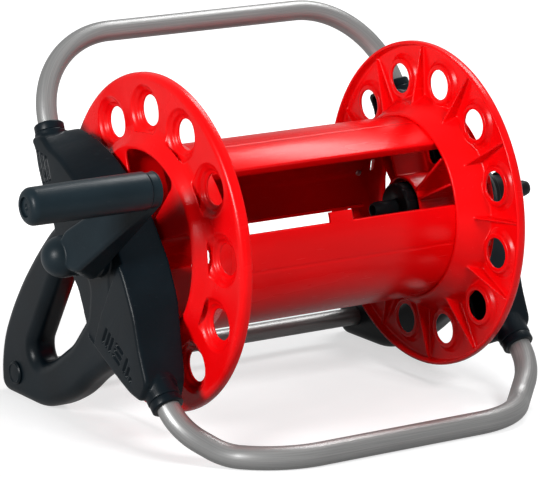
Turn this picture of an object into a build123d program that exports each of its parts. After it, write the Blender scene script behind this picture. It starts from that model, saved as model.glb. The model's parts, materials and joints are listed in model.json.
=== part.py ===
"""Garden hose reel on a stand: a drum between two side frames, turned by a crank.

Frame of the part: millimetres, +Z up, +X along the drum axis away from the crank, -Y to the front.
The floor is Z = 0 and the origin is under the middle of the whole reel.
"""

from build123d import *
from math import atan2, cos, degrees, hypot, radians, sin, tan
import os

# ---------------------------------------------------------------- driving dimensions
HUB_Z = 180.0              # drum axis above the floor
FLANGE_R = 160.0           # drum flange radius
CORE_R = 88.5              # outer radius of the two core shells
SHELL_WALL = 3.0
SHELL_ANGLE = 138.0        # width of one shell, degrees
SHELL_PHASE = -33.0        # middle of the upper shell, degrees from the top towards the front
SHELL_END = 136.0          # shells end inside the flange collars
RIB_SPARE = 0.2            # room between a shell's end and the spoke ribs
FRAME_IN = 175.0           # inner face of a side frame
FRAME_OUT = 219.0          # outer face of a side frame
TUBE_X = 199.5             # tube centres inside the side frames
HANDLE_R = 10.0
FOOT_R = 11.0
REAR_R = 9.0
TUBE_WALL = 1.5
CRANK_REACH = 144.6        # crank radius
CRANK_ANGLE = 55.4         # crank direction at rest, degrees from the top towards the front
GRIP_R = 17.5
GRIP_END = 357.0           # free end of the grip, from mid-drum
INLET_END = 279.0          # free end of the water inlet, from mid-drum
SHAFT_R = 12.0
RUNNING = 0.05             # radial clearance of every running fit

# ---------------------------------------------------------------- sizes that follow
DRUM_X = (GRIP_END - INLET_END) / 2    # mid-drum, so that the reel is centred on X = 0
DRUM_Y = -2.5                          # drum axis, so that the reel is centred on Y = 0
CRANK_SIDE = -1
WATER_SIDE = 1


def polar(radius, angle):
    """(Y, Z) of a point round the drum axis; the angle runs from the top towards the front."""
    return (-radius * sin(radians(angle)), HUB_Z + radius * cos(radians(angle)))


def side_plane(x):
    """A sketch plane across the drum axis, whose own axes are Y and Z."""
    return Plane(origin=(x, 0, 0), x_dir=(0, 1, 0), z_dir=(1, 0, 0))


def rod(x0, x1, radius, y=0.0, z=HUB_Z):
    """A cylinder along X."""
    return extrude(side_plane(x0) * (Pos(y, z) * Circle(radius)), x1 - x0)


def ring(x0, x1, outer, inner, y=0.0, z=HUB_Z):
    """A tube along X."""
    return extrude(side_plane(x0) * (Pos(y, z) * (Circle(outer) - Circle(inner))), x1 - x0)


def slab(x0, x1, outline):
    """A plate across the drum axis, from a sketch in Y and Z."""
    return extrude(side_plane(x0) * outline, x1 - x0)


def turned(points):
    """A body turned round the drum axis from (X, radius) points."""
    plane = Plane(origin=(0, 0, HUB_Z), x_dir=(1, 0, 0), z_dir=(0, -1, 0))
    section = plane * make_face(Polyline(*points, close=True))
    return revolve(section, Axis((0, 0, HUB_Z), (1, 0, 0)))


def turned_about(origin, direction, points):
    """A body turned round any axis from (distance along, radius) points."""
    across = Vector(1, 0, 0) if abs(Vector(*direction).normalized().X) < 0.9 else Vector(0, 1, 0)
    axis = Vector(*direction).normalized()
    radial = (across - axis * axis.dot(across)).normalized()
    plane = Plane(origin=origin, x_dir=axis, z_dir=axis.cross(radial))
    section = plane * make_face(Polyline(*points, close=True))
    return revolve(section, Axis(origin, axis))


def round_the_axis(shape, angle):
    """A shape turned about the drum axis, from the top towards the front."""
    return shape.rotate(Axis((0, 0, HUB_Z), (1, 0, 0)), angle)


def on_side(shape, side):
    """A shape built on the +X side, put on its own side."""
    return shape if side > 0 else mirror(shape, about=Plane.YZ)


def above_hub(points):
    """Outline points given from the drum axis, as (Y, Z)."""
    return [(y, HUB_Z + z) for y, z in points]


# ---------------------------------------------------------------- tubes
HANDLE_MOUTH = (200.0, 116.7, 272.7)
HANDLE_CORNER = (190.0, 164.0, 351.7)
HANDLE_BEND = 92.0
HANDLE_INSERT = 42.0
FOOT_MOUTH = (TUBE_X, -93.0, 54.0)
FOOT_SLOPE = (0.0, -0.736, -0.677)     # way out of the lower socket
FOOT_KNEE = (166.5, -141.4, FOOT_R)
FOOT_CORNER = (129.2, -182.3, FOOT_R)
FOOT_INSERT = 34.0
FOOT_STRAIGHT = 28.5                   # from the socket to the first bend's corner
FOOT_BENDS = (60.0, 54.0, 90.0)
REAR_Y = 163.0
REAR_Z = 25.0
REAR_END = 215.5


SEAT_DEPTH = 11.0          # depth of each tube collar in its socket
SEAT_WALL = 3.2
COLLAR_RIM = 4.4
COLLAR_SINK = 3.0
COLLAR_TOP = 5.0


def along(point, direction, distance):
    """A point moved along a direction."""
    move = Vector(*direction).normalized() * distance
    return (point[0] + move.X, point[1] + move.Y, point[2] + move.Z)


def both_sides(points):
    """A route over the +X side, continued over its mirror image."""
    return points + [(-x, y, z) for x, y, z in reversed(points)]


HANDLE_WAY = tuple(b - a for a, b in zip(HANDLE_MOUTH, HANDLE_CORNER))
HANDLE_ROUTE = both_sides([along(HANDLE_MOUTH, HANDLE_WAY, -HANDLE_INSERT), HANDLE_CORNER])
FOOT_ROUTE = both_sides([
    along(FOOT_MOUTH, FOOT_SLOPE, -FOOT_INSERT),
    along(FOOT_MOUTH, FOOT_SLOPE, FOOT_STRAIGHT),
    FOOT_KNEE,
    FOOT_CORNER,
])


def bent_bar(route, bends, radius):
    """A round bar along straight runs joined by tangent bends."""
    line = FilletPolyline(*route, radius=bends)
    start = Plane(origin=line @ 0, z_dir=line % 0)
    return sweep(start * Circle(radius), path=line)


def bent_tube(route, bends, radius):
    """A round tube along straight runs joined by tangent bends."""
    return bent_bar(route, bends, radius) - bent_bar(route, bends, radius - TUBE_WALL)


HANDLE_BENDS = [HANDLE_BEND, HANDLE_BEND]
FOOT_ALL_BENDS = list(FOOT_BENDS) + list(reversed(FOOT_BENDS))


def rear_tube():
    """Straight tube between the two rear loops."""
    return ring(-REAR_END, REAR_END, REAR_R, REAR_R - TUBE_WALL, REAR_Y, REAR_Z)


def rear_plug():
    """Domed plug that closes one end of the rear tube."""
    stem = REAR_R - TUBE_WALL
    head = [(REAR_END - 14, 0), (REAR_END - 14, stem), (REAR_END, stem), (REAR_END, 11.4),
            (REAR_END + 1.6, 11.4), (REAR_END + 3.2, 9.6), (REAR_END + 2.2, 8.2), (REAR_END + 3.4, 0)]
    return turned_about((0, REAR_Y, REAR_Z), (1, 0, 0), head)


def tube_collar(mouth, way, radius):
    """Flanged ring that closes a frame socket round its tube."""
    ring_r = radius + COLLAR_RIM
    seat_r = radius + SEAT_WALL
    section = [(-SEAT_DEPTH, radius), (-SEAT_DEPTH, seat_r), (-COLLAR_SINK, seat_r), (-COLLAR_SINK, ring_r),
               (COLLAR_TOP - 1.0, ring_r), (COLLAR_TOP, ring_r - 1.0), (COLLAR_TOP, radius)]
    return turned_about(mouth, way, section)


# ---------------------------------------------------------------- side frames
ARM_BASE = above_hub([
    (104, 94), (86, 92), (66, 88.5), (40, 79.5), (8, 63), (-28, 36), (-58, -1), (-74, -34), (-80, -70),
    (-86, -108), (-78, -132), (-60, -129), (-38, -119), (-12, -106), (14, -88), (34, -40), (84, -8),
    (93, 12), (108, 44), (116, 58), (120, 72), (130, 84),
])
ARM_CREST = above_hub([
    (101, 93), (88, 83), (68, 77), (43, 64), (12, 45), (-24, 18), (-51, -17), (-68, -49), (-78, -81),
    (-91, -108), (-79, -126), (-58, -122), (-35, -112), (-8, -99), (21, -85), (39, -46), (81, -1),
    (87, 16), (101, 45), (109, 62), (112, 76), (121, 85),
])
ARM_ROUND = 7.0            # longest blend along each run of the arm outline
ARM_LIP = 4.0              # rounding of the arm's outer rim
FRAME_WALL = 4.0
HUB_RECESS = above_hub([
    (-80, 30), (-40, -6), (-24, -32), (-8, -60), (6, -92), (60, -60), (120, -20), (96, 22), (60, 34),
    (20, 44), (-8, 80),
])
RECESS_DEPTH = 4.0
LOOP_OUT = 215.5
LOOP_IN = 184.0
LOOP_EDGE = above_hub([
    (197, -180), (199, -151), (192, -120), (175, -89), (153, -58), (123, -24), (86, 11), (34, 30), (-26, 0),
    (-30, -100), (24, -131), (52, -153), (86, -170), (116, -180),
])
LOOP_BLEND = 22.0          # longest blend along each run of the loop outline
LOOP_HOLE = above_hub([(22, -32), (80, -34), (153, -151), (98, -128), (58, -102), (27, -68)])
HOLE_CORNERS = (12, 30, 13, 100, 60, 26)
LOOP_ROUND = 11.0
BOSS_R = 24.0
BOSS_END = FRAME_OUT + 3.0
BUSH_R = 15.0
RIB = 3.0
SOCKET_WALL = 5.0
SCREW_X = FRAME_IN + 3.0   # underside of the tube screw heads
SCREW_BOSS_R = 7.0
SCREW_SHANK_R = 2.0
SCREW_HEAD_R = 4.0
SCREW_HEAD = 2.6
SOCKETS = (
    (HANDLE_MOUTH, HANDLE_WAY, HANDLE_INSERT, HANDLE_R),
    (FOOT_MOUTH, FOOT_SLOPE, FOOT_INSERT, FOOT_R),
)
SCREW_BACK = 0.62          # screw position along the tube's insert
GROOVE = 3.4
GROOVE_DEPTH = 2.2
GROOVE_PITCH = 6.6
PADS = (                   # start of the first groove, its way, way to the next one, lengths
    ((-11.6, HUB_Z - 84.5), (-0.485, 0.875), (-0.875, -0.485), (18, 18, 18)),
    ((-29.7, HUB_Z - 91.1), (-0.875, -0.485), (-0.485, 0.875), (15, 15, 15)),
    ((-48.4, HUB_Z - 104.8), (-0.485, 0.875), (-0.875, -0.485), (18, 13, 6)),
    ((95, HUB_Z + 47), (0.36, 0.933), (-0.933, 0.36), (32, 28, 24)),
)


def rounded_outline(points, radii):
    """A closed outline of straight runs with its own radius at each corner."""
    return make_face(FilletPolyline(*points, radius=list(radii), close=True))


def flowing_outline(points, blend):
    """A closed outline whose corners are blended over the same length of each run."""
    radii = []
    count = len(points)
    for i in range(count):
        before, here, after = points[i - 1], points[i], points[(i + 1) % count]
        run_in = Vector(here[0] - before[0], here[1] - before[1])
        run_out = Vector(after[0] - here[0], after[1] - here[1])
        turn = radians(run_in.get_angle(run_out))
        reach = min(blend, 0.46 * run_in.length, 0.46 * run_out.length)
        radii.append(reach / tan(turn / 2))
    return rounded_outline(points, radii)


def inset(points, amount):
    """A closed outline given clockwise, moved inwards."""
    moved = []
    count = len(points)
    for i in range(count):
        before, here, after = points[i - 1], points[i], points[(i + 1) % count]
        in_normal = Vector(before[1] - here[1], here[0] - before[0]).normalized()
        out_normal = Vector(here[1] - after[1], after[0] - here[0]).normalized()
        move = (in_normal + out_normal) * (amount / (1 + in_normal.dot(out_normal)))
        moved.append((here[0] + move.X, here[1] + move.Y))
    return moved


def arm_section(depth, wall):
    """Outline of the hood at a depth from its inner face, moved in by a wall."""
    share = depth / (FRAME_OUT - FRAME_IN)
    points = [
        (base[0] + (crest[0] - base[0]) * share, base[1] + (crest[1] - base[1]) * share)
        for base, crest in zip(ARM_BASE, ARM_CREST)
    ]
    return side_plane(FRAME_IN + depth) * flowing_outline(inset(points, wall), ARM_ROUND)


def arm_body():
    """Two-armed hood of a side frame, narrowing to its outer face, without its hollow."""
    hood = loft([arm_section(0, 0), arm_section(FRAME_OUT - FRAME_IN, 0)], ruled=True)
    hood = fillet(hood.faces().sort_by(Axis.X)[-1].edges(), ARM_LIP)
    recess = slab(FRAME_OUT - RECESS_DEPTH, FRAME_OUT + 1, make_face(Polyline(*HUB_RECESS, close=True)))
    return hood - recess


def arm_room():
    """Hollow of a side frame, open to the drum."""
    depth = FRAME_OUT - RECESS_DEPTH - FRAME_WALL - FRAME_IN
    return loft([arm_section(0, FRAME_WALL), arm_section(depth, FRAME_WALL)], ruled=True)


def loop_body():
    """Rear loop of a side frame, the foot at the back, with rounded edges."""
    outline = flowing_outline(LOOP_EDGE, LOOP_BLEND)
    hole = rounded_outline(LOOP_HOLE, HOLE_CORNERS)
    loop = slab(LOOP_IN, LOOP_OUT, outline - hole)
    return fillet(loop.edges().filter_by(Plane.YZ), LOOP_ROUND)


def pad_grooves():
    """Plain decorative grooves in the two raised pads of a side frame."""
    grooves = []
    for (y, z), run, step, lengths in PADS:
        for row, length in enumerate(lengths):
            start = along((FRAME_OUT - GROOVE_DEPTH, y, z), (0, *step), GROOVE_PITCH * row)
            plane = Plane(origin=start, x_dir=(0, *run), z_dir=(1, 0, 0))
            grooves.append(extrude(plane * (Pos(length / 2, 0) * SlotOverall(length, GROOVE)), 3))
    return grooves


def arm_ribs(room):
    """Stiffening ribs across the hollow of a side frame."""
    centre = Plane(origin=(FRAME_IN + 4, 0, HUB_Z), x_dir=(0, 1, 0), z_dir=(1, 0, 0))
    ribs = Part()
    for angle in (20, 65, 110, 155):
        rib = Rot(0, 0, angle) * Rectangle(320, RIB)
        ribs += extrude(centre * rib, FRAME_OUT - FRAME_IN)
    return ribs & room


def socket_wall(mouth, way, insert, radius):
    """Solid stock round one tube socket."""
    start = along(mouth, way, -insert - SOCKET_WALL)
    plane = Plane(origin=start, z_dir=Vector(*way).normalized())
    return extrude(plane * Circle(radius + SOCKET_WALL), insert + SOCKET_WALL - COLLAR_SINK)


def socket_space(mouth, way, insert, radius):
    """Room for one tube, its collar and the collar's flange."""
    seat = radius + SEAT_WALL
    return turned_about(mouth, way, [
        (-insert, 0), (-insert, radius), (-SEAT_DEPTH, radius), (-SEAT_DEPTH, seat), (-COLLAR_SINK, seat),
        (-COLLAR_SINK, radius + COLLAR_RIM), (30, radius + COLLAR_RIM), (30, 0),
    ])


def screw_points():
    """Where each tube screw enters a side frame: (Y, Z, X on the tube's axis, tube radius)."""
    points = []
    for mouth, way, insert, radius in SOCKETS:
        x, y, z = along(mouth, way, -SCREW_BACK * insert)
        points.append((y, z, x, radius))
    return points


def side_frame():
    """One side frame of the +X side: hood, rear loop, tube sockets and axle boss."""
    arm = arm_body()
    room = arm_room()
    frame = arm - room + arm_ribs(room) + loop_body()
    for socket in SOCKETS:
        frame += socket_wall(*socket)
    for y, z, x, radius in screw_points():
        frame += rod(FRAME_IN, x, SCREW_BOSS_R, y, z)
    frame += rod(FRAME_IN, BOSS_END, BOSS_R)
    for socket in SOCKETS:
        frame -= socket_space(*socket)
    for y, z, x, radius in screw_points():
        frame -= rod(FRAME_IN, x, SCREW_SHANK_R, y, z)
        frame -= rod(FRAME_IN - 1, SCREW_X, SCREW_HEAD_R + 0.5, y, z)
    frame -= rod(FRAME_IN - 1, BOSS_END + 1, BUSH_R)
    frame -= rod(LOOP_IN - 1, LOOP_OUT + 1, REAR_R, REAR_Y, REAR_Z)
    return frame - pad_grooves()


def frame_screws():
    """Pan-head screws that hold the tubes in both side frames."""
    screws = []
    for y, z, x, radius in screw_points():
        tube_wall = x - radius + TUBE_WALL
        screw = rod(SCREW_X - SCREW_HEAD, SCREW_X, SCREW_HEAD_R, y, z)
        screw += rod(SCREW_X, tube_wall + 1.5, SCREW_SHANK_R, y, z)
        screws += [screw, on_side(screw, -1)]
    return screws


# ---------------------------------------------------------------- bushes and washers
BUSH_FLANGE = 3.0
WASHER_IN = FRAME_IN - 3.0
SHAFT_BORE = SHAFT_R + RUNNING


def axle_bush():
    """Flanged sleeve in the axle boss of one side frame."""
    sleeve = ring(FRAME_IN, BOSS_END, BUSH_R, SHAFT_BORE)
    return sleeve + ring(BOSS_END, BOSS_END + BUSH_FLANGE, BOSS_R, SHAFT_BORE)


def thrust_washer():
    """Washer between one side frame and its drum flange."""
    return ring(WASHER_IN, FRAME_IN, 20.0, SHAFT_BORE)


# ---------------------------------------------------------------- drum flanges
FLANGE_SECTION = (
    (127, CORE_R), (127, 91.5), (156, 106.7), (156, 155.5), (147.7, 157), (147.7, FLANGE_R - 1.2),
    (148.9, FLANGE_R), (154, FLANGE_R), (157, FLANGE_R - 1), (158.6, FLANGE_R - 3), (159.2, FLANGE_R - 5.5),
    (159.2, 112), (160.4, 107.5), (162.6, 103), (165.4, 99), (168.4, 95.3), (170, 92.5), (170, 0),
    (167, 0), (167, 91.5), (165.4, 94), (161.5, 98.5), (157, 102), (136.5, 91.8), (136, CORE_R),
)
WEB_OUT = 170.0
WEB_IN = 167.0
DISC_OUT = 159.2
DISC_IN = 156.0
WINDOW_WIDTH = 58.5        # degrees
WINDOW_START = 11.0 - WINDOW_WIDTH / 2
WINDOW_INNER = 37.0
WINDOW_OUTER = 89.5
WINDOW_ROUND = 7.0
HUB_BOSS_R = 19.0
HUB_BOSS_IN = 140.0
SPOKE_RIB = 3.0
HUB_WALL = (27.0, 30.0)    # inner and outer radius of the wall round the hub boss
HUB_WALL_IN = 127.5
HOLE_COUNT = 12
HOLE_PITCH_R = 124.6
HOLE_R = 14.5
CUP_SHELL = ((157, 25.5), (154.5, 22.5), (153.4, 20.6), (150.3, 19))
CUP_RECESS = ((161.2, 26.4), (DISC_OUT, 25), (157, 22.5), (155.8, 19.5), (153.4, 17.6), (152.8, 16.4))
HOLE_PHASE = {CRANK_SIDE: 25.7, WATER_SIDE: 11.8}
GUSSET = 2.2
SQUARE = 14.0              # drive square of the crank shaft
SET_SCREW_X = 148.0
SET_SCREW_R = 2.0


def sector(inner, outer, start, width):
    """A ring sector in the drum's cross-section, from one angle over a width."""
    ends = [polar(outer, start), polar(outer, start + width), polar(inner, start + width), polar(inner, start)]
    outer_arc = ThreePointArc(ends[0], polar(outer, start + width / 2), ends[1])
    inner_arc = ThreePointArc(ends[2], polar(inner, start + width / 2), ends[3])
    return make_face([outer_arc, Line(ends[1], ends[2]), inner_arc, Line(ends[3], ends[0])])


def flange_windows():
    """The four windows between the spokes of a flange."""
    outline = sector(WINDOW_INNER, WINDOW_OUTER, WINDOW_START, WINDOW_WIDTH)
    outline = fillet(outline.vertices(), WINDOW_ROUND)
    window = slab(WEB_IN - 25, WEB_OUT + 1, outline)
    return [round_the_axis(window, turn) for turn in range(0, 360, 90)]


def hole_angles(side):
    """Directions of the rim holes of one flange."""
    return [HOLE_PHASE[side] + 360 / HOLE_COUNT * i for i in range(HOLE_COUNT)]


def hole_cup():
    """Cup behind one rim hole, standing off the flange disc towards the drum."""
    y, z = polar(HOLE_PITCH_R, 0)
    return turned_about((0, y, z), (1, 0, 0), [(CUP_SHELL[0][0], 0), *CUP_SHELL, (CUP_SHELL[-1][0], 0)])


def hole_cut():
    """Stepped opening through one rim hole."""
    y, z = polar(HOLE_PITCH_R, 0)
    floor = CUP_RECESS[-1][0]
    return turned_about((0, y, z), (1, 0, 0), [
        (CUP_RECESS[0][0], 0), *CUP_RECESS, (floor, HOLE_R), (floor - 10, HOLE_R), (floor - 10, 0),
    ])


def gusset():
    """Rib from the drum sleeve out to the rim, on the drum side of a flange."""
    plane = Plane(origin=(0, 0, HUB_Z), x_dir=(1, 0, 0), z_dir=(0, -1, 0))
    outline = Polyline((DISC_IN + 1, 103), (140, 97.5), (141.5, 101.5), (152.5, 153), (DISC_IN + 1, 156), close=True)
    return extrude(plane * make_face(outline), GUSSET / 2, both=True)


def spoke_rib():
    """Rib from the hub boss to the drum sleeve, behind one spoke."""
    plane = Plane(origin=(0, 0, HUB_Z), x_dir=(1, 0, 0), z_dir=(0, -1, 0))
    outline = Polyline(
        (WEB_IN + 1, 14), (HUB_BOSS_IN + 1, 14), (HUB_BOSS_IN - 4, 28), (HUB_WALL_IN, 28), (HUB_WALL_IN, 90),
        (137, 94.2), (157, 104), (162.5, 99.5), (WEB_IN + 0.5, 92.5), close=True,
    )
    return extrude(plane * make_face(outline), SPOKE_RIB / 2, both=True)


def drive_square(x0, x1):
    """Square drive of the crank shaft."""
    return slab(x0, x1, Pos(0, HUB_Z) * Rectangle(SQUARE, SQUARE))


def set_screw_axis(x):
    """Plane over the drum axis whose normal points at the sky."""
    return Plane(origin=(x, 0, HUB_Z), z_dir=(0, 0, 1))


def flange(side):
    """One drum flange, with windows, rim holes, cups and gussets."""
    body = turned(FLANGE_SECTION) - flange_windows()
    body += rod(HUB_BOSS_IN, WEB_OUT, HUB_BOSS_R)
    body += ring(HUB_WALL_IN, WEB_IN + 1, HUB_WALL[1], HUB_WALL[0])
    for turn in range(0, 360, 90):
        middle = WINDOW_START + WINDOW_WIDTH + (90 - WINDOW_WIDTH) / 2 + turn
        body += [round_the_axis(spoke_rib(), middle + lean) for lean in (-9, 9)]
    body -= ring(HUB_WALL_IN - 1, SHELL_END + RIB_SPARE, CORE_R, CORE_R - SHELL_WALL - RIB_SPARE)
    for angle in hole_angles(side):
        body += round_the_axis(hole_cup(), angle)
        body += round_the_axis(gusset(), angle + 180 / HOLE_COUNT)
    body -= [round_the_axis(hole_cut(), angle) for angle in hole_angles(side)]
    if side == CRANK_SIDE:
        body -= drive_square(HUB_BOSS_IN - 1, WEB_OUT + 1)
    else:
        body -= rod(HUB_BOSS_IN - 1, WEB_OUT + 1, SHAFT_R)
    body -= extrude(set_screw_axis(SET_SCREW_X) * Circle(SET_SCREW_R), HUB_BOSS_R + 1)
    for direction in core_screw_directions():
        body -= core_screw_rod(CORE_SCREW_R, direction, CORE_R - 1, CORE_SCREW_TIP)
    return on_side(body, side)


# ---------------------------------------------------------------- core shells
SHELL_LIP = 6.0
CORE_SCREW_X = 131.5
CORE_SCREW_R = 1.5
CORE_SCREW_TIP = 92.3
CORE_SCREW_HEAD_R = 3.0
CORE_SCREW_SEAT = 85.44
CORE_SCREW_TURNS = (-45.0, 45.0)  # from the middle of a shell
TAB = (-15.0, 10.0, 10.0)  # along X from, to, and height above the shell's edge
SHELL_TURNS = {"core_shell_upper": 0, "core_shell_lower": 180}


def core_screw_directions():
    """Directions of the screws round the core, the same at both ends."""
    return [SHELL_PHASE + turn + off for turn in SHELL_TURNS.values() for off in CORE_SCREW_TURNS]


def core_screw_rod(radius, direction, inner, outer):
    """A small radial rod through a shell end and the flange sleeve, on the +X side."""
    plane = Plane(origin=(CORE_SCREW_X, 0, HUB_Z + inner), z_dir=(0, 0, 1))
    return round_the_axis(extrude(plane * Circle(radius), outer - inner), direction)


def core_shell(name):
    """One curved shell of the drum core, its long edges turned inwards."""
    inner = CORE_R - SHELL_WALL
    start = -SHELL_ANGLE / 2
    lip = degrees(SHELL_WALL / inner)
    profile = sector(inner, CORE_R, start, SHELL_ANGLE)
    profile += sector(inner - SHELL_LIP, inner + 1, start, lip)
    profile += sector(inner - SHELL_LIP, inner + 1, -start - lip, lip)
    crests = [v for v in profile.vertices() if hypot(v.X, v.Y - HUB_Z) > CORE_R - 0.1]
    shell = slab(-SHELL_END, SHELL_END, fillet(crests, 2.0))
    if name == "core_shell_lower":
        x0, x1, height = TAB
        shell += slab(x0, x1, sector(inner, CORE_R, start - degrees(height / CORE_R), degrees(height / CORE_R) + 2))
    for off in CORE_SCREW_TURNS:
        hole = core_screw_rod(CORE_SCREW_R, off, inner - 1, CORE_R + 1)
        shell -= [hole, on_side(hole, -1)]
    return round_the_axis(shell, SHELL_PHASE + SHELL_TURNS[name])


def core_screws():
    """Small screws that hold the shell ends to the flange sleeves, from inside the drum."""
    screws = []
    for direction in core_screw_directions():
        screw = core_screw_rod(CORE_SCREW_HEAD_R, direction, CORE_SCREW_SEAT - 2.0, CORE_SCREW_SEAT)
        screw += core_screw_rod(CORE_SCREW_R, direction, CORE_SCREW_SEAT, CORE_SCREW_TIP)
        screws += [screw, on_side(screw, -1)]
    return screws


# ---------------------------------------------------------------- shafts and water way
CRANK_FACE = 226.0         # inner plane of the crank arm
CRANK_SOCKET = 250.0       # end of the drive square in the crank
SHAFT_END = 238.0
SHAFT_START = 128.0
WATER_BORE = 8.0
SEAL_X = (228.0, 234.0)
SEAL_WIDTH = 3.0
SEAL_ROOT = 10.5
COUPLING = (124.0, 139.5)              # along the drum axis, from the hose end
COUPLING_R = 17.0
COUPLING_NUT = (118.0, 137.0)
COUPLING_NUT_R = 23.5
OUTLET_END = 92.0          # free end of the hose spigot, from mid-drum
SPIGOT_BORE = 5.5
SPIGOT_R = 8.0
NECK_R = 7.5               # inside the union nut
FLANGE = (14.0, 3.0)       # radius and thickness of a spigot's flange
INLET_FLANGE_END = 229.5
INLET_BARREL_R = 17.0
INLET_BARREL_END = 250.0
INLET_NUT = (246.0, 260.0)
INLET_NUT_R = 21.0
NECK_SPARE = 0.5           # how far a spigot's neck stands out of its nut
TIP = 4.5                  # length of each spigot's tapered tip


def drive_shaft():
    """Stub shaft of the crank side, square at both ends."""
    shaft = rod(WEB_OUT, CRANK_FACE, SHAFT_R) + drive_square(HUB_BOSS_IN, WEB_OUT)
    return on_side(shaft + drive_square(CRANK_FACE, CRANK_SOCKET), CRANK_SIDE)


def set_screws():
    """Screws through the flange hubs that hold the two shafts."""
    crank_end = extrude(set_screw_axis(-SET_SCREW_X).offset(SQUARE / 2) * Circle(SET_SCREW_R), 12.0)
    water_end = extrude(set_screw_axis(SET_SCREW_X).offset(SHAFT_R) * Circle(SET_SCREW_R), 7.0)
    return [crank_end, water_end]


def water_shaft():
    """Hollow shaft of the water side, between the inlet and the hose coupling."""
    shaft = ring(SHAFT_START, SHAFT_END, SHAFT_R, WATER_BORE)
    return shaft - [ring(x - SEAL_WIDTH / 2, x + SEAL_WIDTH / 2, SHAFT_R + 1, SEAL_ROOT) for x in SEAL_X]


def shaft_seals():
    """Two sealing rings in the grooves of the water shaft."""
    return [ring(x - SEAL_WIDTH / 2, x + SEAL_WIDTH / 2, SHAFT_R, SEAL_ROOT) for x in SEAL_X]


def towards_crank(points):
    """A body turned round the drum axis from (X, radius) points listed towards the crank."""
    return turned_about((0, 0, HUB_Z), (-1, 0, 0), [(-x, radius) for x, radius in points])


def hose_coupling():
    """Socket on the end of the water shaft that leads the water on to the hose."""
    start, stop = COUPLING
    return towards_crank([
        (stop, SHAFT_R), (stop, COUPLING_R), (start, COUPLING_R), (start, WATER_BORE), (SHAFT_START, WATER_BORE),
        (SHAFT_START, SHAFT_R),
    ])


def spigot(flange_start, lip_end, way, end):
    """(X, radius) points of a plain hose spigot with a flange and a neck at its root."""
    flange_r, thickness = FLANGE
    flange_end = flange_start + way * thickness
    neck_end = lip_end + way * NECK_SPARE
    return [
        (flange_start, SPIGOT_BORE), (flange_start, flange_r), (flange_end, flange_r), (flange_end, NECK_R),
        (neck_end, NECK_R), (neck_end, SPIGOT_R), (end - way * TIP, SPIGOT_R), (end, SPIGOT_R - TIP / 3),
        (end, SPIGOT_BORE),
    ]


def hose_nipple():
    """Spigot that the reeled hose is pushed on."""
    return towards_crank(spigot(COUPLING[0], COUPLING_NUT[0], -1, OUTLET_END))


def finger_grooves(start, stop, radius):
    """Grooves round a union nut."""
    grooves = []
    for i in range(12):
        y, z = polar(radius + 1.2, 30 * i)
        grooves.append(rod(start - 1, stop + 1, 2.4, y, z))
    return grooves


def coupling_nut():
    """Union nut that clamps the hose spigot to the coupling."""
    start, stop = COUPLING_NUT
    flange_r, thickness = FLANGE
    seat = COUPLING[0]
    nut = towards_crank([
        (stop, COUPLING_R), (stop, COUPLING_NUT_R - 1), (stop - 1, COUPLING_NUT_R), (start + 2, COUPLING_NUT_R),
        (start, COUPLING_NUT_R - 2), (start, SPIGOT_R + 0.4), (seat - thickness, SPIGOT_R + 0.4),
        (seat - thickness, flange_r), (seat, flange_r), (seat, COUPLING_R),
    ])
    return nut - finger_grooves(start, stop, COUPLING_NUT_R)


def inlet_body():
    """Fixed inlet in which the water shaft turns."""
    seat = BOSS_END + BUSH_FLANGE
    return turned([
        (seat, SHAFT_BORE), (seat, BOSS_R), (INLET_FLANGE_END - 1, BOSS_R), (INLET_FLANGE_END, BOSS_R - 1),
        (INLET_FLANGE_END, INLET_BARREL_R), (INLET_BARREL_END, INLET_BARREL_R),
        (INLET_BARREL_END, WATER_BORE), (SHAFT_END + 1, WATER_BORE), (SHAFT_END + 1, SHAFT_BORE),
    ])


def inlet_nut():
    """Union nut on the fixed inlet."""
    start, stop = INLET_NUT
    flange_r, thickness = FLANGE
    seat = INLET_BARREL_END
    nut = turned([
        (start, INLET_BARREL_R), (start, INLET_NUT_R - 1), (start + 1, INLET_NUT_R), (stop - 2, INLET_NUT_R),
        (stop, INLET_NUT_R - 2), (stop, SPIGOT_R + 0.4), (seat + thickness, SPIGOT_R + 0.4),
        (seat + thickness, flange_r), (seat, flange_r), (seat, INLET_BARREL_R),
    ])
    return nut - finger_grooves(start, stop, INLET_NUT_R)


def inlet_nipple():
    """Spigot for the supply hose, clamped by the inlet nut."""
    return turned(spigot(INLET_BARREL_END, INLET_NUT[1], 1, INLET_END))


# ---------------------------------------------------------------- crank and grip
DOME_X = 254.0             # centre of the domed hub cap
DOME_R = 19.5
ARM_HUB_R = 25.0
ARM_TIP_R = 17.5
ARM_TOP_HUB = (30.0, -5.0, 20.0, 257.0)   # along the arm, across it, radius, X
ARM_TOP_TIP = (13.0, 231.5)               # radius, X
ARM_EDGE = 4.5
SEAT_X = 236.0             # raised seat under the grip
SEAT_R = 16.0
PIN_R = 6.0
PIN_ROOT = 227.5
GRIP_GAP = 0.5
GRIP_FLOOR = 341.0         # bottom of the recess at the grip's free end
GRIP_POCKET_R = 9.0
GRIP_EDGE = 8.0
PIN_END = GRIP_FLOOR + 0.5
GRIP_SCREW_HEAD = (8.4, 4.0)              # radius, length
GRIP_SCREW_SHANK = (2.5, 16.0)
CAP = (350.0, 355.0)


def crank_plane(x):
    """Sketch plane across the drum axis whose X axis runs out along the crank arm."""
    out_y, out_z = polar(1, CRANK_ANGLE)
    return Plane(origin=(x, 0, HUB_Z), x_dir=(0, out_y, out_z - HUB_Z), z_dir=(-1, 0, 0))


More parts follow.
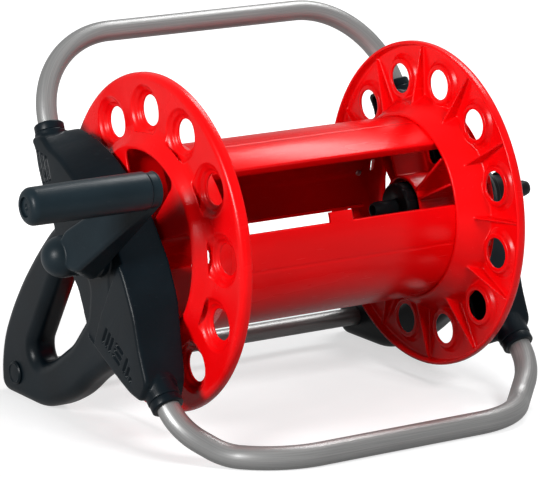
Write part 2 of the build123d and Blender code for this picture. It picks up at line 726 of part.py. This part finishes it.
def crank_arm():
    """Crank arm with its hub, dome and grip seat."""
    along_hub, across_hub, top_r, top_x = ARM_TOP_HUB
    tip_r, tip_x = ARM_TOP_TIP
    root = crank_plane(-CRANK_FACE)
    foot_print = make_hull([*Circle(ARM_HUB_R).edges(), *(Pos(CRANK_REACH, 0) * Circle(ARM_TIP_R)).edges()])
    tilt = degrees(atan2(top_x - tip_x, CRANK_REACH - along_hub))
    top = crank_plane(-top_x) * Pos(along_hub, 0) * Rot(0, tilt, 0)
    tip = Pos((CRANK_REACH - along_hub) / cos(radians(tilt)), 0)
    top_print = make_hull([*(Pos(0, across_hub) * Circle(top_r)).edges(), *(tip * Circle(tip_r)).edges()])
    arm = loft([root * foot_print, top * top_print], ruled=True)
    arm = fillet(arm.faces().filter_by(GeomType.PLANE).sort_by(Axis.X)[0].edges(), ARM_EDGE)
    arm += rod(-CRANK_FACE - 0.5, -DOME_X, DOME_R) + Pos(-DOME_X, 0, HUB_Z) * Sphere(DOME_R)
    y, z = polar(CRANK_REACH, CRANK_ANGLE)
    arm += rod(-SEAT_X, -CRANK_FACE, SEAT_R, y, z)
    arm -= rod(-SEAT_X - 1, -PIN_ROOT, PIN_R, y, z)
    return arm - on_side(drive_square(CRANK_FACE - 1, CRANK_SOCKET), CRANK_SIDE)


def on_grip(points):
    """A body turned round the grip's axis from (distance from mid-drum, radius) points."""
    y, z = polar(CRANK_REACH, CRANK_ANGLE)
    return turned_about((0, y, z), (-1, 0, 0), points)


def grip_pin():
    """Steel pin on which the grip turns."""
    radius, depth = GRIP_SCREW_SHANK
    return on_grip([
        (PIN_ROOT, 0), (PIN_ROOT, PIN_R), (PIN_END, PIN_R), (PIN_END, radius), (PIN_END - depth, radius),
        (PIN_END - depth, 0),
    ])


def grip_screw():
    """Wide-headed screw that keeps the grip on its pin."""
    head, length = GRIP_SCREW_HEAD
    radius, depth = GRIP_SCREW_SHANK
    top = PIN_END + length
    return on_grip([
        (PIN_END - depth, 0), (PIN_END - depth, radius), (PIN_END, radius), (PIN_END, head),
        (top - 1, head), (top, head - 1.5), (top, 0),
    ])


def grip_sleeve():
    """Turning grip with its pocket for the screw head."""
    start = SEAT_X + GRIP_GAP
    bore = PIN_R + RUNNING
    grip = on_grip([
        (start, bore), (start, GRIP_R - 1), (start + 1, GRIP_R), (GRIP_END - 60, GRIP_R),
        (GRIP_END, GRIP_R - 0.5), (GRIP_END, GRIP_POCKET_R), (GRIP_FLOOR, GRIP_POCKET_R), (GRIP_FLOOR, bore),
    ])
    rim = grip.edges().filter_by(GeomType.CIRCLE).sort_by(Axis.X)
    end = [edge for edge in rim if edge.radius > GRIP_R - 0.8 and abs(edge.center().X + GRIP_END) < 0.1]
    return fillet(end, GRIP_EDGE - 0.5)


def grip_cap():
    """Push-in cap over the grip screw."""
    start, stop = CAP
    return on_grip([
        (start, 0), (start, GRIP_POCKET_R), (stop - 0.8, GRIP_POCKET_R), (stop, GRIP_POCKET_R - 0.8),
        (stop, 3.0), (stop - 1.0, 2.4), (stop - 1.0, 0),
    ])


# ---------------------------------------------------------------- the whole reel
def drilled(tube):
    """A tube with the holes for its own frame screws."""
    for y, z, x, radius in screw_points():
        hole = rod(FRAME_IN, x, SCREW_SHANK_R, y, z)
        tube -= [hole, on_side(hole, -1)]
    return tube


def mirrored_pair(name, shape):
    """The same piece on both sides."""
    return {name + "_right": shape, name + "_left": on_side(shape, -1)}


def hose_reel():
    """Every piece by name, before it is moved into the part frame."""
    pieces = {
        "handle_tube": drilled(bent_tube(HANDLE_ROUTE, HANDLE_BENDS, HANDLE_R)),
        "foot_tube": drilled(bent_tube(FOOT_ROUTE, FOOT_ALL_BENDS, FOOT_R)),
        "rear_tube": rear_tube(),
        "frame_screws": frame_screws(),
        "flange_left": flange(CRANK_SIDE),
        "flange_right": flange(WATER_SIDE),
        "core_screws": core_screws(),
        "drive_shaft": drive_shaft(),
        "set_screws": set_screws(),
        "water_shaft": water_shaft(),
        "shaft_seals": shaft_seals(),
        "hose_coupling": hose_coupling(),
        "hose_nipple": hose_nipple(),
        "coupling_nut": coupling_nut(),
        "inlet_body": inlet_body(),
        "inlet_nut": inlet_nut(),
        "inlet_nipple": inlet_nipple(),
        "crank_arm": crank_arm(),
        "grip_pin": grip_pin(),
        "grip_screw": grip_screw(),
        "grip_sleeve": grip_sleeve(),
        "grip_cap": grip_cap(),
    }
    pieces.update(mirrored_pair("side_frame", side_frame()))
    pieces.update(mirrored_pair("rear_plug", rear_plug()))
    pieces.update(mirrored_pair("handle_collar", tube_collar(HANDLE_MOUTH, HANDLE_WAY, HANDLE_R)))
    pieces.update(mirrored_pair("foot_collar", tube_collar(FOOT_MOUTH, FOOT_SLOPE, FOOT_R)))
    pieces.update(mirrored_pair("axle_bush", axle_bush()))
    pieces.update(mirrored_pair("thrust_washer", thrust_washer()))
    pieces.update({name: core_shell(name) for name in SHELL_TURNS})
    return pieces


os.makedirs("parts", exist_ok=True)
for name, piece in hose_reel().items():
    solids = piece if isinstance(piece, list) else [piece]
    placed = [Pos(DRUM_X, DRUM_Y, 0) * solid for solid in solids]
    export_step(Compound(children=placed) if len(placed) > 1 else placed[0], f"parts/{name}.step")
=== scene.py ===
"""The garden hose reel in its finishes, on a pale floor.

Metres throughout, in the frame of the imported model. Each solid of the model is dressed by a piece of the
same place and size with softer edges, and every piece gets a made-up finish of its own.
"""

import json
import math

import bmesh
import bpy
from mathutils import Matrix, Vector


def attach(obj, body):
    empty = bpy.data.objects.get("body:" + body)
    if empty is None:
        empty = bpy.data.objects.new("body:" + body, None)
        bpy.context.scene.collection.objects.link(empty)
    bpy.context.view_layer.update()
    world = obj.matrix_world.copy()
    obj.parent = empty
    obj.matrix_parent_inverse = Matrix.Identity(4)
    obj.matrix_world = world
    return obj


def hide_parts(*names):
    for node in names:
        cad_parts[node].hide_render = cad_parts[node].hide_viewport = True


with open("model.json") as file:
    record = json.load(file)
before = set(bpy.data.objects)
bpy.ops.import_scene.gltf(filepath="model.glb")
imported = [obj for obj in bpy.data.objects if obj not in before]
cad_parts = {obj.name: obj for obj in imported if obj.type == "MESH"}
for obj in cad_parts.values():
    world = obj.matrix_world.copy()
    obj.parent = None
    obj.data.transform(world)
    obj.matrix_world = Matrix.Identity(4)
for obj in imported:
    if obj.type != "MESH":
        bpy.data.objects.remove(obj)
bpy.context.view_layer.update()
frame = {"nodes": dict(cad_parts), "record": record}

MM = 0.001
HUB = Vector(frame["record"]["behaviour"]["joints"][0]["pos_m"])     # middle of the drum on its axis


# ---------------------------------------------------------------- finishes
class Wire:
    """A value, colour or vector on its way through a finish, for use in sums."""

    def __init__(self, finish, socket):
        self.finish = finish
        self.socket = socket

    def _sum(self, operation, first, second):
        return self.finish.add("ShaderNodeMath", {"operation": operation}, {0: first, 1: second})

    def __add__(self, other):
        return self._sum("ADD", self, other)

    def __radd__(self, other):
        return self._sum("ADD", other, self)

    def __sub__(self, other):
        return self._sum("SUBTRACT", self, other)

    def __rsub__(self, other):
        return self._sum("SUBTRACT", other, self)

    def __mul__(self, other):
        return self._sum("MULTIPLY", self, other)

    def __rmul__(self, other):
        return self._sum("MULTIPLY", other, self)

    def clear(self, low, high):
        """0 below low, 1 above high, and a smooth change between."""
        return self.finish.add(
            "ShaderNodeMapRange", {"interpolation_type": "SMOOTHSTEP"},
            {"Value": self, "From Min": low, "From Max": high, "To Min": 0.0, "To Max": 1.0},
        )


class Finish:
    """One material, built node by node."""

    def __init__(self, name):
        self.material = bpy.data.materials.new(name)
        self.material.use_nodes = True
        self.tree = self.material.node_tree
        self.tree.nodes.clear()

    def add(self, kind, settings=None, values=None, output=0):
        """A node of any kind, its settings made first, then its sockets filled or linked."""
        node = self.tree.nodes.new(kind)
        for key, value in (settings or {}).items():
            setattr(node, key, value)
        for key, value in (values or {}).items():
            socket = node.inputs[key]
            if isinstance(value, Wire):
                self.tree.links.new(value.socket, socket)
            else:
                socket.default_value = value
        if node.outputs:
            return Wire(self, node.outputs[output])

    def place(self, stretch=(1, 1, 1)):
        """Object coordinates, stretched for a pattern with a direction."""
        spot = self.add("ShaderNodeTexCoord", output="Object")
        if stretch == (1, 1, 1):
            return spot
        return self.add("ShaderNodeMapping", values={"Vector": spot, "Scale": stretch})

    def cloud(self, spot, scale, detail=3.0, rough=0.55):
        """Soft noise at a scale in cells per metre."""
        return self.add(
            "ShaderNodeTexNoise", {"noise_dimensions": "3D"},
            {"Vector": spot, "Scale": scale, "Detail": detail, "Roughness": rough}, output=0,
        )

    def cells(self, spot, scale):
        """Distance to the nearest of scattered points."""
        return self.add("ShaderNodeTexVoronoi", {"feature": "F1"}, {"Vector": spot, "Scale": scale})

    def blend(self, share, first, second):
        """One colour turning into another."""
        return self.add(
            "ShaderNodeMix", {"data_type": "RGBA", "blend_type": "MIX"},
            {0: share, 6: first, 7: second}, output=2,
        )

    def relief(self, height, depth):
        """Bumps of a depth in metres."""
        return self.add("ShaderNodeBump", values={"Height": height, "Distance": depth, "Strength": 1.0})

    def close(self, shader):
        """Puts a shader on the surface and gives the material."""
        self.add("ShaderNodeOutputMaterial", values={"Surface": shader})
        return self.material

    def gloss(self, **sockets):
        """The main shader, its sockets named with underscores for spaces."""
        values = {key.replace("_", " "): value for key, value in sockets.items()}
        return self.close(self.add("ShaderNodeBsdfPrincipled", values=values))


def rgb(red, green, blue):
    """A colour with full cover."""
    return (red, green, blue, 1.0)


def hairlines(finish, stretch, low, high):
    """Sparse fine scuffs that run one way."""
    lines = finish.cloud(finish.place(stretch), 1.0, 2.0, 0.5)
    return lines.clear(low, high)


def moulded_red():
    """Glossy red moulding: faint flow marks, fine orange peel and a few scuffs."""
    finish = Finish("moulded_red")
    flow = finish.cloud(finish.place((6, 30, 30)), 1.0, 4.0)
    peel = finish.cloud(finish.place(), 520.0, 2.0)
    scuffs = hairlines(finish, (35, 900, 260), 0.70, 0.78)
    colour = finish.blend(flow.clear(0.3, 0.7), rgb(0.84, 0.001, 0.002), rgb(0.90, 0.002, 0.004))
    colour = finish.blend(scuffs * 0.10, colour, rgb(0.92, 0.04, 0.04))
    height = peel * 0.5 + flow * 0.2
    return finish.gloss(
        Base_Color=colour, Roughness=0.23 + flow * 0.07 + scuffs * 0.1, Specular_IOR_Level=0.20,
        Normal=finish.relief(height, 0.00003),
    )


def satin_charcoal(name, light, dark, roughness, grain):
    """Blue-grey satin moulding with a spark-eroded grain, rubbed a little smoother in places."""
    finish = Finish(name)
    patches = finish.cloud(finish.place(), 14.0, 4.0)
    fine = finish.cloud(finish.place(), grain, 2.0, 0.6)
    pits = finish.cells(finish.place(), grain * 0.8).clear(0.1, 0.7)
    scuffs = hairlines(finish, (60, 240, 700), 0.69, 0.77)
    colour = finish.blend(patches.clear(0.3, 0.7), dark, light)
    colour = finish.blend(fine.clear(0.35, 0.75) * 0.35, colour, dark)
    colour = finish.blend(scuffs * 0.10, colour, rgb(0.10, 0.11, 0.12))
    return finish.gloss(
        Base_Color=colour, Roughness=roughness + patches * 0.10 - scuffs * 0.06, Specular_IOR_Level=0.16,
        Normal=finish.relief(fine * 0.6 + pits * 0.4, 0.00004),
    )


def drawn_tube():
    """Satin drawn tube: fine lines along its run and a few handling marks."""
    finish = Finish("drawn_tube")
    run = finish.add("ShaderNodeAttribute", {"attribute_name": "run"}, output="Vector")
    lines = finish.cloud(
        finish.add("ShaderNodeMapping", values={"Vector": run, "Scale": (60.0, 9.0, 1.0)}), 1.0, 4.0, 0.7)
    marks = finish.cloud(finish.place(), 38.0, 4.0).clear(0.55, 0.75)
    colour = finish.blend(lines.clear(0.3, 0.7), rgb(0.25, 0.25, 0.25), rgb(0.34, 0.34, 0.335))
    return finish.gloss(
        Base_Color=colour, Metallic=0.50 + lines * 0.1, Roughness=0.34 + lines * 0.12 + marks * 0.06,
        Normal=finish.relief(lines, 0.00002),
    )


def plated_steel():
    """Zinc-plated steel of screws and pins."""
    finish = Finish("plated_steel")
    bloom = finish.cloud(finish.place(), 260.0, 4.0)
    colour = finish.blend(bloom.clear(0.3, 0.7), rgb(0.42, 0.43, 0.45), rgb(0.60, 0.60, 0.58))
    return finish.gloss(
        Base_Color=colour, Metallic=1.0, Roughness=0.26 + bloom * 0.14, Normal=finish.relief(bloom, 0.00002))


def seal_rubber():
    """Dull black rubber with a faint bloom."""
    finish = Finish("seal_rubber")
    bloom = finish.cloud(finish.place(), 300.0, 4.0)
    colour = finish.blend(bloom.clear(0.4, 0.7), rgb(0.012, 0.012, 0.012), rgb(0.03, 0.03, 0.03))
    return finish.gloss(
        Base_Color=colour, Roughness=0.62 + bloom * 0.15, Normal=finish.relief(bloom, 0.00003))


RED = moulded_red()
HOOD = satin_charcoal("hood_charcoal", rgb(0.0035, 0.0080, 0.0115), rgb(0.0016, 0.0040, 0.0062), 0.30, 1500.0)
CRANK = satin_charcoal("crank_charcoal", rgb(0.011, 0.020, 0.026), rgb(0.0065, 0.0125, 0.0170), 0.30, 1900.0)
FITTING = satin_charcoal("fitting_black", rgb(0.006, 0.0065, 0.0075), rgb(0.003, 0.0035, 0.004), 0.32, 2200.0)
BUSH = satin_charcoal("bush_grey", rgb(0.060, 0.062, 0.064), rgb(0.038, 0.040, 0.042), 0.40, 2200.0)
TUBE = drawn_tube()
STEEL = plated_steel()
RUBBER = seal_rubber()
SLOT_FINISH = {
    "red_plastic": RED, "frame_plastic": HOOD, "crank_plastic": CRANK, "fitting_plastic": FITTING,
    "bush_plastic": BUSH, "tube_metal": TUBE, "steel": STEEL, "seal_rubber": RUBBER,
}


# ---------------------------------------------------------------- pieces
NODE_SLOT = {part["node"]: part["material_slot"] for part in frame["record"]["subparts"]}
NODE_BODY = {
    node: body for body, nodes in frame["record"]["behaviour"]["bodies"].items() for node in nodes
}


def put(mesh, name):
    """A new object in the scene for a finished mesh."""
    piece = bpy.data.objects.new(name, mesh)
    bpy.context.scene.collection.objects.link(piece)
    return piece


def settle(piece):
    """Turns the piece's modifiers into plain mesh."""
    bpy.context.view_layer.update()
    baked = bpy.data.meshes.new_from_object(piece.evaluated_get(bpy.context.evaluated_depsgraph_get()))
    piece.modifiers.clear()
    piece.data = baked
    return piece


def clothe(piece, node):
    """Gives a piece its finish and body and lets it stand for a solid."""
    slot = NODE_SLOT[node]
    piece.data.materials.clear()
    piece.data.materials.append(SLOT_FINISH[slot])
    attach(piece, NODE_BODY[node])
    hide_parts(node)


JOIN_WITHIN = 2e-6                      # corners of the loose triangles nearer than this are one
NO_LENGTH = 1e-6                        # shorter edges are dropped
FLAT_ANGLE = math.radians(0.5)          # faces that meet at less become one
HARD_ANGLE = math.radians(32)           # edges sharper than this are eased
EASED_WIDTH = 0.35 * MM
TURNED_SMOOTH = 40                      # degrees up to which a small piece is shaded smooth
ALL_SMOOTH = 180


def merged_copy(node, name):
    """A solid's mesh with its loose triangles joined, as a new object."""
    mesh = frame["nodes"][node].data.copy()
    work = bmesh.new()
    work.from_mesh(mesh)
    bmesh.ops.remove_doubles(work, verts=work.verts, dist=JOIN_WITHIN)
    bmesh.ops.dissolve_degenerate(work, edges=work.edges, dist=NO_LENGTH)
    work.to_mesh(mesh)
    work.free()
    return put(mesh, name)


def smooth_by_angle(piece, degrees):
    """Smooth faces, split where they meet at more than an angle."""
    for polygon in piece.data.polygons:
        polygon.use_smooth = True
    piece.data.set_sharp_from_angle(angle=math.radians(degrees))


def trimmed(node):
    """A turned or small solid with its hard edges eased."""
    piece = merged_copy(node, node + "_piece")
    work = bmesh.new()
    work.from_mesh(piece.data)
    bmesh.ops.dissolve_limit(work, angle_limit=FLAT_ANGLE, verts=work.verts, edges=work.edges)
    work.to_mesh(piece.data)
    work.free()
    ease = piece.modifiers.new("ease", "BEVEL")
    ease.width = EASED_WIDTH
    ease.segments = 2
    ease.limit_method = "ANGLE"
    ease.angle_limit = HARD_ANGLE
    ease.harden_normals = False
    settle(piece)
    smooth_by_angle(piece, TURNED_SMOOTH)
    clothe(piece, node)


def softened(node, voxel, passes, keep):
    """A moulding whose edges all run softly into each other, as out of a worn mould."""
    piece = merged_copy(node, node + "_piece")
    skin = piece.modifiers.new("skin", "REMESH")
    skin.mode = "VOXEL"
    skin.voxel_size = voxel * MM
    ease = piece.modifiers.new("ease", "SMOOTH")
    ease.factor = 0.5
    ease.iterations = passes
    settle(piece)
    thin = piece.modifiers.new("thin", "DECIMATE")
    thin.ratio = keep
    settle(piece)
    smooth_by_angle(piece, ALL_SMOOTH)
    clothe(piece, node)


# ---------------------------------------------------------------- the node tree of the tubes
BEND_STEPS = 36


class Tree:
    """A small geometry node tree with named inputs and a Finish."""

    def __init__(self, name, inputs):
        self.tree = bpy.data.node_groups.new(name, "GeometryNodeTree")
        face = self.tree.interface
        face.new_socket("Geometry", in_out="INPUT", socket_type="NodeSocketGeometry")
        self.keys = {}
        for key, (kind, value) in inputs.items():
            socket = face.new_socket(key, in_out="INPUT", socket_type="NodeSocket" + kind)
            socket.default_value = value
            self.keys[key] = socket.identifier
        self.keys["Finish"] = face.new_socket(
            "Finish", in_out="INPUT", socket_type="NodeSocketMaterial").identifier
        face.new_socket("Geometry", in_out="OUTPUT", socket_type="NodeSocketGeometry")
        self.source = self.tree.nodes.new("NodeGroupInput")
        self.end = self.tree.nodes.new("NodeGroupOutput")

    def given(self, key):
        """An input of the tree."""
        return self.source.outputs[key]

    def add(self, kind, settings=None, values=None, output=0):
        """A node, its settings made first, then its sockets filled or linked; gives one output."""
        node = self.tree.nodes.new(kind)
        for key, value in (settings or {}).items():
            setattr(node, key, value)
        for key, value in (values or {}).items():
            socket = node.inputs[key]
            if isinstance(value, bpy.types.NodeSocket):
                self.tree.links.new(value, socket)
            else:
                socket.default_value = value
        return node.outputs[output]

    def mark(self, geometry, name, value, kind="FLOAT"):
        """Stores a value on the points under a name."""
        return self.add(
            "GeometryNodeStoreNamedAttribute", {"data_type": kind, "domain": "POINT"},
            {"Geometry": geometry, "Name": name, "Value": value})

    def marked(self, name):
        """A value stored on the points."""
        return self.add(
            "GeometryNodeInputNamedAttribute", {"data_type": "FLOAT"}, {"Name": name}, output="Attribute")

    def finish(self, geometry):
        """Instances made real, the finish set, and the result handed out."""
        real = self.add("GeometryNodeRealizeInstances", values={"Geometry": geometry})
        dressed = self.add(
            "GeometryNodeSetMaterial", values={"Geometry": real, "Material": self.given("Finish")})
        self.tree.links.new(dressed, self.end.inputs[0])
        return self

    def on(self, piece, **values):
        """Runs the tree on a piece and keeps the plain mesh."""
        grow = piece.modifiers.new("grow", "NODES")
        grow.node_group = self.tree
        for key, value in values.items():
            grow[self.keys[key]] = value
        return settle(piece)


def tube_tree():
    """A round tube along a route of straight runs, its corners bent to the route's own radii."""
    tree = Tree("tube along a route", {"Radius": ("Float", 0.01), "Sides": ("Int", 48)})
    route = tree.add("GeometryNodeMeshToCurve", values={"Mesh": tree.given("Geometry")})
    rounded = tree.add(
        "GeometryNodeFilletCurve", {"mode": "POLY"},
        {"Curve": route, "Count": BEND_STEPS, "Radius": tree.marked("bend")})
    profile = tree.add(
        "GeometryNodeCurvePrimitiveCircle", {"mode": "RADIUS"},
        {"Resolution": tree.given("Sides"), "Radius": tree.given("Radius")})
    along = tree.add("GeometryNodeSplineParameter", output="Length")
    around = tree.add("GeometryNodeSplineParameter", output="Factor")
    skin = tree.add("GeometryNodeCurveToMesh", values={
        "Curve": tree.mark(rounded, "along", along), "Profile Curve": tree.mark(profile, "around", around),
        "Fill Caps": True,
    })
    run = tree.add("ShaderNodeCombineXYZ", values={"X": tree.marked("around"), "Y": tree.marked("along")})
    told = tree.mark(skin, "run", run, "FLOAT_VECTOR")
    smooth = tree.add("GeometryNodeSetShadeSmooth", values={"Geometry": told, "Shade Smooth": True})
    return tree.finish(smooth)


TUBE_TREE = tube_tree()


# ---------------------------------------------------------------- tubes
def bent_tube(node, corners, bends, radius):
    """A tube through corner points given from the middle of the drum's floor shadow, in millimetres."""
    floor_mark = Vector((HUB.x, HUB.y, 0))
    mesh = bpy.data.meshes.new(node + "_route")
    points = [Vector(corner) * MM + floor_mark for corner in corners]
    mesh.from_pydata(points, [(i, i + 1) for i in range(len(points) - 1)], [])
    mark = mesh.attributes.new("bend", "FLOAT", "POINT")
    for i, bend in enumerate([0.0, *bends, 0.0]):
        mark.data[i].value = bend * MM
    piece = TUBE_TREE.on(put(mesh, node + "_piece"), Radius=radius * MM, Finish=TUBE)
    clothe(piece, node)


def both_ways(half):
    """A half route and its mirror image."""
    return half + [(-x, y, z) for x, y, z in reversed(half)]


HANDLE_HALF = [(204.5, 95.3, 236.9), (190.0, 164.0, 351.7)]
FOOT_HALF = [(199.5, -68.0, 77.0), (199.5, -114.0, 34.7), (166.5, -141.4, 11.0), (129.2, -182.3, 11.0)]
REAR_RUN = [(-215.4, 163.0, 25.0), (215.4, 163.0, 25.0)]
bent_tube("handle_tube", both_ways(HANDLE_HALF), [92, 92], 10.0)
bent_tube("foot_tube", both_ways(FOOT_HALF), [60, 54, 90, 90, 54, 60], 11.0)
bent_tube("rear_tube", REAR_RUN, [], 9.0)


# ---------------------------------------------------------------- mouldings and small pieces
SOFTENED = {                            # cell in millimetres, smoothing passes, share of faces kept
    "flange_left": (0.95, 2, 0.32),
    "flange_right": (0.95, 2, 0.32),
    "side_frame_left": (1.0, 3, 0.33),
    "side_frame_right": (1.0, 3, 0.33),
    "crank_arm": (0.7, 6, 0.4),
}
for node, way in SOFTENED.items():
    softened(node, *way)
for node in sorted(set(NODE_SLOT) - set(SOFTENED) - {"handle_tube", "foot_tube", "rear_tube"}):
    trimmed(node)


# ---------------------------------------------------------------- stage
MIRRORED_SHARE = 0.4       # how bright the pale surroundings are in reflections
FLOOR_HALF = 30            # half the floor's width
CLEAR_FROM, CLEAR_TO = 0.25, 0.70       # from the middle of the reel, where the floor turns white
SOFT_SKY = 0.07            # strength of the surroundings where they only light


def pale_floor():
    """White floor that keeps the soft shadow, clears to white around it and sends little light back."""
    finish = Finish("pale_floor")
    grain = finish.cloud(finish.place(), 30.0, 3.0)
    colour = finish.blend(grain.clear(0.3, 0.7), rgb(0.46, 0.46, 0.465), rgb(0.48, 0.48, 0.485))
    spot = finish.add("ShaderNodeVectorMath", {"operation": "LENGTH"}, {0: finish.place()}, output="Value")
    far = spot.clear(CLEAR_FROM, CLEAR_TO)
    lit = finish.add("ShaderNodeBsdfDiffuse", values={"Color": colour})
    glow_colour = finish.blend(far, rgb(0.62, 0.62, 0.62), rgb(1, 1, 1))
    glow = finish.add("ShaderNodeEmission", values={"Color": glow_colour, "Strength": 1.0})
    shown = finish.add("ShaderNodeAddShader", values={0: lit, 1: glow})
    dull = finish.add("ShaderNodeBsdfDiffuse", values={"Color": rgb(0.15, 0.15, 0.15)})
    camera, glossy, through = [
        finish.add("ShaderNodeLightPath", output=f"Is {kind} Ray")
        for kind in ("Camera", "Glossy", "Transmission")
    ]
    seen = camera + glossy * MIRRORED_SHARE + through
    return finish.close(finish.add("ShaderNodeMixShader", values={0: seen, 1: dull, 2: shown}))


def lay_floor():
    """A wide floor under the reel."""
    work = bmesh.new()
    signs = ((-1, -1), (1, -1), (1, 1), (-1, 1))
    work.faces.new([work.verts.new((x * FLOOR_HALF, y * FLOOR_HALF, 0)) for x, y in signs])
    mesh = bpy.data.meshes.new("floor")
    work.to_mesh(mesh)
    work.free()
    mesh.materials.append(pale_floor())
    put(mesh, "floor")


def hang_sky():
    """Pale surroundings, white where they are seen and softer where they only light."""
    world = bpy.data.worlds.new("studio")
    bpy.context.scene.world = world
    world.use_nodes = True
    tree = world.node_tree
    tree.nodes.clear()
    rays = tree.nodes.new("ShaderNodeLightPath")
    mirrored = tree.nodes.new("ShaderNodeMath")
    mirrored.operation = "MULTIPLY_ADD"
    mirrored.inputs[1].default_value = MIRRORED_SHARE
    white = tree.nodes.new("ShaderNodeBackground")
    white.inputs["Color"].default_value = rgb(1, 1, 1)
    white.inputs["Strength"].default_value = 1.0
    soft = tree.nodes.new("ShaderNodeBackground")
    soft.inputs["Strength"].default_value = SOFT_SKY
    shown = tree.nodes.new("ShaderNodeMath")
    shown.operation = "MAXIMUM"
    choice = tree.nodes.new("ShaderNodeMixShader")
    end = tree.nodes.new("ShaderNodeOutputWorld")
    tree.links.new(rays.outputs["Is Glossy Ray"], mirrored.inputs[0])
    tree.links.new(rays.outputs["Is Camera Ray"], mirrored.inputs[2])
    tree.links.new(mirrored.outputs[0], shown.inputs[0])
    tree.links.new(rays.outputs["Is Transmission Ray"], shown.inputs[1])
    tree.links.new(shown.outputs[0], choice.inputs[0])
    tree.links.new(soft.outputs[0], choice.inputs[1])
    tree.links.new(white.outputs[0], choice.inputs[2])
    tree.links.new(choice.outputs[0], end.inputs[0])


def hang_lamp(name, spot, aim, width, height, power, mirrored=True):
    """One soft box that looks at a point; glossy pieces mirror it or not."""
    lamp = bpy.data.lights.new(name, "AREA")
    lamp.shape = "RECTANGLE"
    lamp.size = width
    lamp.size_y = height
    lamp.energy = power
    holder = bpy.data.objects.new(name, lamp)
    bpy.context.scene.collection.objects.link(holder)
    holder.location = spot
    holder.rotation_euler = (Vector(aim) - Vector(spot)).to_track_quat("-Z", "Y").to_euler()
    holder.visible_glossy = mirrored


CAMERA_AIM = Vector((-26.75, 0.0, -12.5)) * MM          # from the middle of the drum
CAMERA_BACK = Vector((-0.52807, -0.81659, 0.23311)).normalized()
CAMERA_REACH = 3.2244
SENSOR_WIDTH = 36.0
LENS = 225.4


def set_camera():
    """The camera at the reel's crank end, looking a little down."""
    camera = bpy.data.cameras.new("camera")
    camera.sensor_width = SENSOR_WIDTH
    camera.lens = LENS
    camera.clip_end = 50.0
    holder = bpy.data.objects.new("camera", camera)
    bpy.context.scene.collection.objects.link(holder)
    holder.location = HUB + CAMERA_AIM + CAMERA_BACK * CAMERA_REACH
    holder.rotation_euler = (-CAMERA_BACK).to_track_quat("-Z", "Y").to_euler()
    bpy.context.scene.camera = holder


lay_floor()
hang_sky()
hang_lamp("key", (-2.6, -0.6, 1.1), (0, 0, 0.18), 0.6, 0.8, 72)
hang_lamp("front", (0.1, -2.4, 1.9), (0, 0, 0.18), 0.9, 0.4, 62, mirrored=False)
hang_lamp("overhead", (1.35, 0.6, 2.2), (0, 0, 0.2), 1.2, 0.7, 30)
set_camera()
bpy.context.scene.view_settings.view_transform = "Standard"
